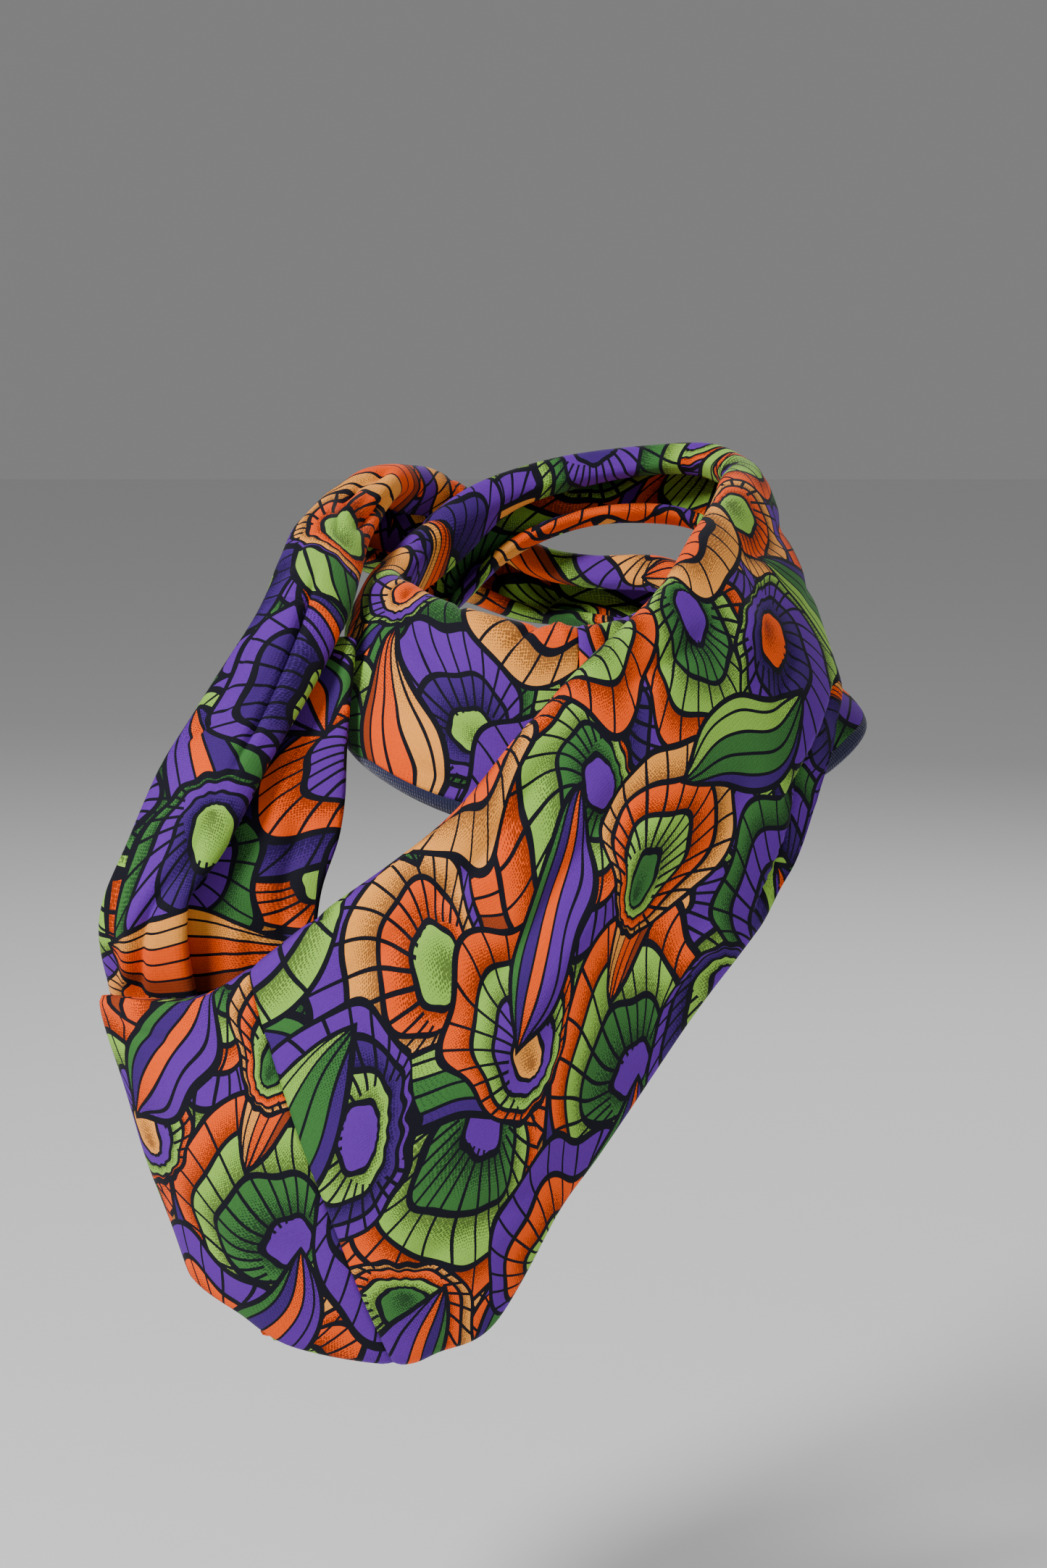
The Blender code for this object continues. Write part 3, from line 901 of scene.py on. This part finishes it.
def leaf_group():
    """A bent leaf with stripes that meet at both points."""
    tree, given, out = motif_group("Print leaf")
    x, y, value, first, second = motif_place(tree, given, LEAF_CELL, LEAF_WANDER)
    length = calculate(
        tree, "MULTIPLY_ADD", value, LEAF_CELL * LEAF_LENGTH_MORE, LEAF_CELL * LEAF_LENGTH)
    ratio = calculate(tree, "DIVIDE", x, length)
    round_off = calculate(tree, "SUBTRACT", 1.0, calculate(tree, "MULTIPLY", ratio, ratio))
    bend = calculate(tree, "MULTIPLY_ADD", first, 2 * LEAF_BEND, -LEAF_BEND)
    y = calculate(tree, "SUBTRACT", y, calculate(tree, "MULTIPLY", bend, round_off))
    half = calculate(tree, "MULTIPLY", round_off, calculate(
        tree, "MULTIPLY_ADD", second, LEAF_HALF_WIDTH_MORE, LEAF_HALF_WIDTH))
    across = calculate(tree, "DIVIDE", y, half)
    inside = calculate(tree, "LESS_THAN", calculate(tree, "ABSOLUTE", across), 1.0)
    inside = calculate(tree, "MULTIPLY", inside, calculate(tree, "GREATER_THAN", half, 0.0))
    stripe = calculate(tree, "MULTIPLY_ADD", across, LEAF_STRIPES / 2, LEAF_STRIPES / 2)
    index = calculate(tree, "FLOOR", stripe)
    family = calculate(tree, "FRACT", calculate(tree, "MULTIPLY", value, LEAF_STEP))
    family = calculate(tree, "FLOOR", calculate(tree, "MULTIPLY", family, len(LEAF_COLOURS)))
    stripes = [colour for colours in LEAF_COLOURS for colour in colours]
    pick = calculate(tree, "ADD", calculate(tree, "MULTIPLY", family, LEAF_STRIPES),
                     calculate(tree, "ADD", index, 0.5))
    pick = calculate(tree, "DIVIDE", pick, len(stripes))
    starts = [(number / len(stripes), colour) for number, colour in enumerate(stripes)]
    amount = calculate(tree, "MULTIPLY", calculate(tree, "ABSOLUTE", ratio), LEAF_DOTS)
    colour = stippled(tree, palette(tree, pick, starts), given["Place"], amount)
    gap = calculate(tree, "MULTIPLY", half, 2 / LEAF_STRIPES)
    lines = calculate(tree, "LESS_THAN", near_line(tree, stripe, gap), FINE_LINE / 2)
    rim = calculate(tree, "MULTIPLY", calculate(
        tree, "SUBTRACT", 1.0, calculate(tree, "ABSOLUTE", across)), half)
    ink = calculate(tree, "MAXIMUM", lines, calculate(tree, "LESS_THAN", rim, INK_LINE))
    link(tree, blend_colour(tree, ink, colour, (*INK, 1)), out["Colour"])
    link(tree, inside, out["Mask"])
    return tree


def jersey_group():
    """Fine jersey: the height of its knit stitches at a place in millimetres."""
    tree, given, out = new_group("Jersey knit", [("Place", "Vector")], [("Height", "Float")])
    x, y, _ = separate(tree, given["Place"])
    columns = calculate(tree, "SINE", calculate(tree, "MULTIPLY", y, math.tau / STITCH_WIDTH))
    slant = calculate(tree, "MULTIPLY", calculate(tree, "ABSOLUTE", columns), STITCH_SLANT)
    courses = calculate(tree, "SINE", calculate(
        tree, "MULTIPLY_ADD", x, math.tau / STITCH_HEIGHT, slant))
    knit = calculate(tree, "MULTIPLY", calculate(tree, "ADD", columns, courses), STITCH_SHARE)
    noise = noise_at(tree, given["Place"], scale=1.1, detail=3.0)
    link(tree, calculate(tree, "ADD", knit, noise["Fac"]), out["Height"])
    return tree


def place_on_cloth(tree):
    """Millimetres along and across the cloth."""
    cloth = tree.nodes.new("ShaderNodeUVMap")
    cloth.uv_map = "Cloth"
    return scaled(tree, cloth.outputs["UV"], 1 / MM)


def warped(tree, place):
    """The place moved softly about, so that the motifs look drawn by hand."""
    noise = noise_at(tree, place, scale=1 / WARP_SIZE, detail=1.0)
    shift = calculate_vector(tree, "SUBTRACT", noise["Color"], (0.5, 0.5, 0.5))
    moved = calculate_vector(tree, "ADD", place, scaled(tree, shift, WARP_REACH))
    x, y, _ = separate(tree, moved)
    return combine(tree, x, y)


def print_group(fan, leaf):
    """The whole print: fans over fans, with leaves over them, on violet."""
    tree, given, out = new_group("Scarf print", [("Place", "Vector")], [("Colour", "Color")])
    place = warped(tree, given["Place"])
    _, y, _ = separate(tree, place)
    away = near_line(tree, calculate(tree, "DIVIDE", y, GROUND_LINES), GROUND_LINES)
    lines = calculate(tree, "LESS_THAN", away, FINE_LINE / 2)
    colour = blend_colour(tree, lines, (*VIOLET, 1), (*INK, 1))
    for number, (kind, shift_x, shift_y) in enumerate(MOTIF_LAYERS):
        motif = use_group(tree, fan if kind == "fan" else leaf, Place=place,
                          Shift=(shift_x, shift_y, 0), Seed=float(number + PRINT_SEED))
        colour = blend_colour(tree, motif["Mask"], colour, motif["Colour"])
    link(tree, colour, out["Colour"])
    return tree


def cloth_material(name, knit, roughness, sheen, relief):
    """A matte cloth with its knit raised by bump. Returns the material and its shader."""
    material = bpy.data.materials.new(name)
    material.use_nodes = True
    tree = material.node_tree
    shader = tree.nodes["Principled BSDF"]
    shader.inputs["Roughness"].default_value = roughness
    shader.inputs["Sheen Weight"].default_value = sheen
    shader.inputs["Sheen Roughness"].default_value = SHEEN_ROUGHNESS
    shader.inputs["Specular IOR Level"].default_value = SPECULAR
    bump = tree.nodes.new("ShaderNodeBump")
    bump.inputs["Strength"].default_value = relief
    bump.inputs["Distance"].default_value = KNIT_DEPTH * MM
    place = place_on_cloth(tree)
    link(tree, use_group(tree, knit, Place=place)["Height"], bump.inputs["Height"])
    link(tree, bump.outputs["Normal"], shader.inputs["Normal"])
    return material, shader, place


def print_material(knit, whole_print):
    material, shader, place = cloth_material(
        "Printed jersey", knit, roughness=0.8, sheen=0.03, relief=0.16)
    tree = material.node_tree
    colour = use_group(tree, whole_print, Place=place)["Colour"]
    noise = noise_at(tree, place, scale=0.9, detail=4.0)
    thread = calculate(tree, "MULTIPLY_ADD", noise["Fac"], THREAD_MORE, THREAD_LEAST)
    tint = combine(tree, thread, thread, thread)
    link(tree, blend_colour(tree, 1.0, colour, tint, "MULTIPLY"), shader.inputs["Base Color"])
    return material


def lining_material(knit):
    material, shader, place = cloth_material(
        "Navy lining", knit, roughness=0.92, sheen=0.35, relief=0.8)
    tree = material.node_tree
    noise = noise_at(tree, place, scale=1.7, detail=5.0)
    colour = blend_colour(tree, noise["Fac"], (*NAVY_DARK, 1), (*NAVY_LIGHT, 1))
    link(tree, colour, shader.inputs["Base Color"])
    return material


def printed_inside(rows):
    """The rows round the nape and over the left shoulder, where print shows on both sides."""
    nape = (rows >= row_of(NAPE_UPPER)) & (rows < COLLAR_START)
    return nape | (rows >= COLLAR_END)


def keep_all(cloth):
    return np.ones((cloth.points.shape[0] - 1, cloth.points.shape[1] - 1), bool)


def lining_part(cloth):
    """The cells of the grid that are lining: the collar's lowest band and what turns up."""
    rows = cloth.rows[:-1, :-1]
    columns = np.arange(cloth.points.shape[1] - 1)[None, :]
    return (rows >= COLLAR_START) & (rows < COLLAR_END) & (columns >= cloth.seam_column)


def cloth_mesh(name, cloth, band, points, keep, panel):
    """A mesh over part of a grid, with its place on the printed cloth as its UV map."""
    rows, count = cloth.along.shape
    corners = np.arange(rows * count).reshape(rows, count)
    quads = np.stack([corners[:-1, :-1], corners[:-1, 1:], corners[1:, 1:], corners[1:, :-1]],
                     axis=2)[keep]
    used, quads_used = np.unique(quads, return_inverse=True)
    quads_used = quads_used.reshape(quads.shape)
    mesh = bpy.data.meshes.new(name)
    mesh.from_pydata((points.reshape(-1, 3)[used] * MM).tolist(), [], quads_used.tolist())
    cloth_map = mesh.uv_layers.new(name="Cloth")
    on_cloth = np.stack([cloth.along * panel.way + panel.along,
                         across_on_cloth(cloth, band) + panel.across], axis=2)
    on_cloth = on_cloth.reshape(-1, 2)[used] * MM
    cloth_map.data.foreach_set("uv", on_cloth[quads_used.ravel()].ravel().astype(np.float32))
    mesh.shade_smooth()
    return mesh


def cell_areas(points):
    """Area of each cell of a grid of points."""
    first = points[1:, 1:] - points[:-1, :-1]
    second = points[1:, :-1] - points[:-1, 1:]
    return np.linalg.norm(np.cross(first, second), axis=2) / 2


def flat_size(cloth, points, keep):
    """Mean width and length of the cloth as modelled, with its turned edges, in metres."""
    kept_rows = np.any(keep, axis=1).nonzero()[0]
    length = float(np.ptp(cloth.along[:, 0][kept_rows])) * MM
    area = float(cell_areas(points)[keep].sum()) * MM ** 2
    return round(area / length, 3), round(length, 3)


def shell_piece(name, cloth, band, keep, materials, nodes, panel, printed=None):
    """A piece of thin cloth over part of a grid. The first material is for its outside and
    the second for its inside, or the third and fourth in the rows that printed picks."""
    points = creased(cloth, band)
    mesh = cloth_mesh(name, cloth, band, points, keep, panel)
    for material in materials:
        mesh.materials.append(material)
    if printed is not None:
        both_printed = printed(cloth.rows[:-1, :-1])[keep]
        mesh.polygons.foreach_set("material_index", (both_printed * 2).astype(np.int32))
    piece = bpy.data.objects.new(name, mesh)
    bpy.context.scene.collection.objects.link(piece)
    wall = piece.modifiers.new("Wall", "SOLIDIFY")
    wall.thickness = CLOTH_WALL * MM
    wall.offset = 0
    wall.material_offset = 1 if len(materials) > 1 else 0
    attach(piece, "root")
    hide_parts(*nodes)
    mean_width, length = flat_size(cloth, points, keep)


def make_turn(band, rows, panel, materials, printed_piece, lining_piece):
    """One turn of the band, as its print and the lining that shows at the collar. Each
    piece is a name and the nodes that it stands for."""
    cloth = cloth_between(band, *rows)
    lining = lining_part(cloth)
    name, nodes = printed_piece
    shell_piece(name, cloth, band, ~lining, materials, nodes, panel, printed=printed_inside)
    name, nodes = lining_piece
    shell_piece(name, cloth, band, lining, [materials[1]], nodes, panel)


def make_scarf():
    band = band_profiles()
    knit = jersey_group()
    cloth_print = print_material(knit, print_group(fan_group(), leaf_group()))
    lining = lining_material(knit)
    lined = [cloth_print, lining]
    turned = lined + [cloth_print, cloth_print]

    make_turn(band, (FIRST_SEAM, SECOND_SEAM), PANEL_ONE, turned,
              ("first_turn_print", ("front_right", "nape_upper", "collar_left")),
              ("collar_lining_left", ("collar_left_lining",)))
    make_turn(band, (SECOND_SEAM, FALL_START), PANEL_TWO, turned,
              ("second_turn_print", ("collar_right", "nape_lower", "left_shoulder")),
              ("collar_lining_right", ("collar_right_lining",)))

    edges = smooth_rows(STRIP_EDGES)
    fall = cloth_between(band, FALL_START, BAND_END - FALL_TRIM, edges)
    shell_piece("left_fall_print", fall, band, keep_all(fall), lined, ("left_fall",), PANEL_TWO)

    corner = cloth_between(band, 0, FIRST_SEAM)
    shell_piece("pocket_corner_print", corner, band, keep_all(corner), lined,
                ("front_left",), CORNER_OF_PANEL)


def make_camera():
    camera = bpy.data.objects.new("Camera", bpy.data.cameras.new("Camera"))
    bpy.context.scene.collection.objects.link(camera)
    tilt = math.radians(CAMERA_TILT)
    back = Vector((0, -math.cos(tilt), math.sin(tilt)))
    camera.location = Vector(LOOK_AT) + back * CAMERA_DISTANCE
    camera.rotation_euler = (math.radians(90 - CAMERA_TILT), 0, 0)
    camera.data.lens = LENS
    camera.data.sensor_width = SENSOR_WIDTH
    bpy.context.scene.camera = camera


def make_light(lamp):
    light = bpy.data.lights.new(lamp.name, "AREA")
    light.shape = "DISK"
    light.size = lamp.size
    light.energy = lamp.power
    placed = bpy.data.objects.new(lamp.name, light)
    bpy.context.scene.collection.objects.link(placed)
    placed.location = lamp.location
    towards = Vector(LOOK_AT) - Vector(lamp.location)
    placed.rotation_euler = towards.to_track_quat("-Z", "Y").to_euler()


def make_studio():
    """A plain pale floor and soft light, strongest from the upper left."""
    mesh = bpy.data.meshes.new("floor")
    reach = FLOOR_REACH
    height = cad_box[0].z - FLOOR_DROP
    mesh.from_pydata([(-reach, -reach, height), (reach, -reach, height), (reach, reach, height),
                      (-reach, reach, height)], [], [(0, 1, 2, 3)])
    floor = bpy.data.objects.new("floor", mesh)
    bpy.context.scene.collection.objects.link(floor)
    material = bpy.data.materials.new("Pale floor")
    material.use_nodes = True
    shader = material.node_tree.nodes["Principled BSDF"]
    shader.inputs["Base Color"].default_value = (FLOOR_GREY, FLOOR_GREY, FLOOR_GREY, 1)
    shader.inputs["Roughness"].default_value = FLOOR_ROUGHNESS
    mesh.materials.append(material)
    world = bpy.data.worlds.new("Studio")
    bpy.context.scene.world = world
    world.use_nodes = True
    sky = world.node_tree.nodes["Background"]
    sky.inputs["Color"].default_value = (SKY_GREY, SKY_GREY, SKY_GREY, 1)
    sky.inputs["Strength"].default_value = SKY_STRENGTH
    for lamp in LAMPS:
        make_light(lamp)


make_scarf()
make_camera()
make_studio()
